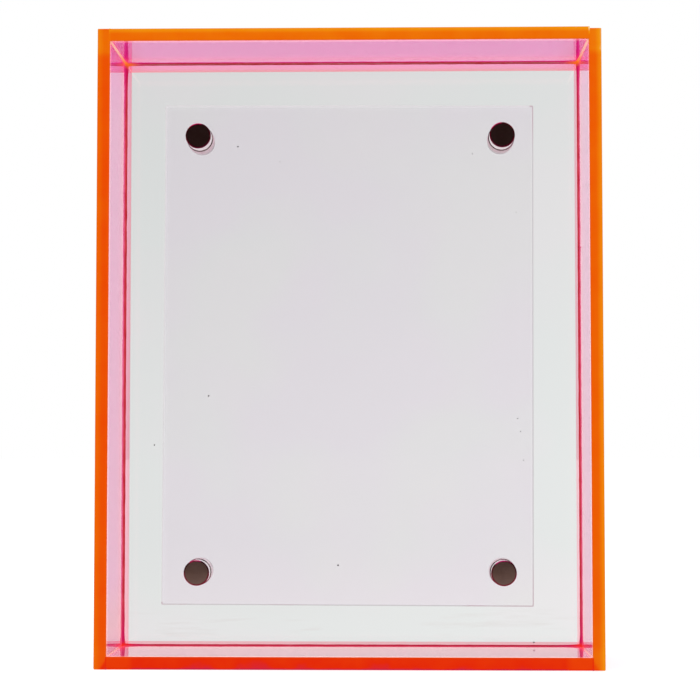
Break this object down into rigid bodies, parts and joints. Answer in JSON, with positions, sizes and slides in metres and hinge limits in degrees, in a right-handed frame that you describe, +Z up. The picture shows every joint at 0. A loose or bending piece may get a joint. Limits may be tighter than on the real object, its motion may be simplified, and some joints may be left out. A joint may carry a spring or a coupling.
{
  "type": "photo frame",
  "caption": "Deep open acrylic box frame with tinted walls round a clear mounting panel, and a clear cover sheet held over a print by turned magnetic posts.",
  "frame": {"origin": "centre of the footprint, on the surface that the frame stands on", "axes": "+Z up, -Y out of the open front towards the viewer, +X to the viewer's right"},
  "size_m": [0.1906, 0.0636, 0.2413],
  "materials": {
    "pink_acrylic": "polished",
    "clear_acrylic": "polished",
    "cover_acrylic": "polished",
    "turned_steel": "polished",
    "nickel_magnet": "polished"
  },
  "bodies": {
    "frame": {"wall_left": "pink_acrylic", "wall_right": "pink_acrylic", "wall_top": "pink_acrylic", "wall_bottom": "pink_acrylic", "mounting_panel": "clear_acrylic", "rear_magnet_top_left": "nickel_magnet", "rear_magnet_top_right": "nickel_magnet", "rear_magnet_bottom_left": "nickel_magnet", "rear_magnet_bottom_right": "nickel_magnet"},
    "cover": {"cover_sheet": "cover_acrylic"},
    "post_top_left": {"post_top_left": "turned_steel", "post_magnet_top_left": "nickel_magnet"},
    "post_top_right": {"post_top_right": "turned_steel", "post_magnet_top_right": "nickel_magnet"},
    "post_bottom_left": {"post_bottom_left": "turned_steel", "post_magnet_bottom_left": "nickel_magnet"},
    "post_bottom_right": {"post_bottom_right": "turned_steel", "post_magnet_bottom_right": "nickel_magnet"}
  },
  "joints": [
    {"name": "cover_lift", "type": "slide", "parent": "frame", "child": "cover", "axis": [0, -1, 0], "range_m": [0, 0.055]},
    {"name": "pull_top_left", "type": "slide", "parent": "cover", "child": "post_top_left", "axis": [0, -1, 0], "range_m": [0, 0.05]},
    {"name": "pull_top_right", "type": "slide", "parent": "cover", "child": "post_top_right", "axis": [0, -1, 0], "range_m": [0, 0.05]},
    {"name": "pull_bottom_left", "type": "slide", "parent": "cover", "child": "post_bottom_left", "axis": [0, -1, 0], "range_m": [0, 0.05]},
    {"name": "pull_bottom_right", "type": "slide", "parent": "cover", "child": "post_bottom_right", "axis": [0, -1, 0], "range_m": [0, 0.05]}
  ]
}
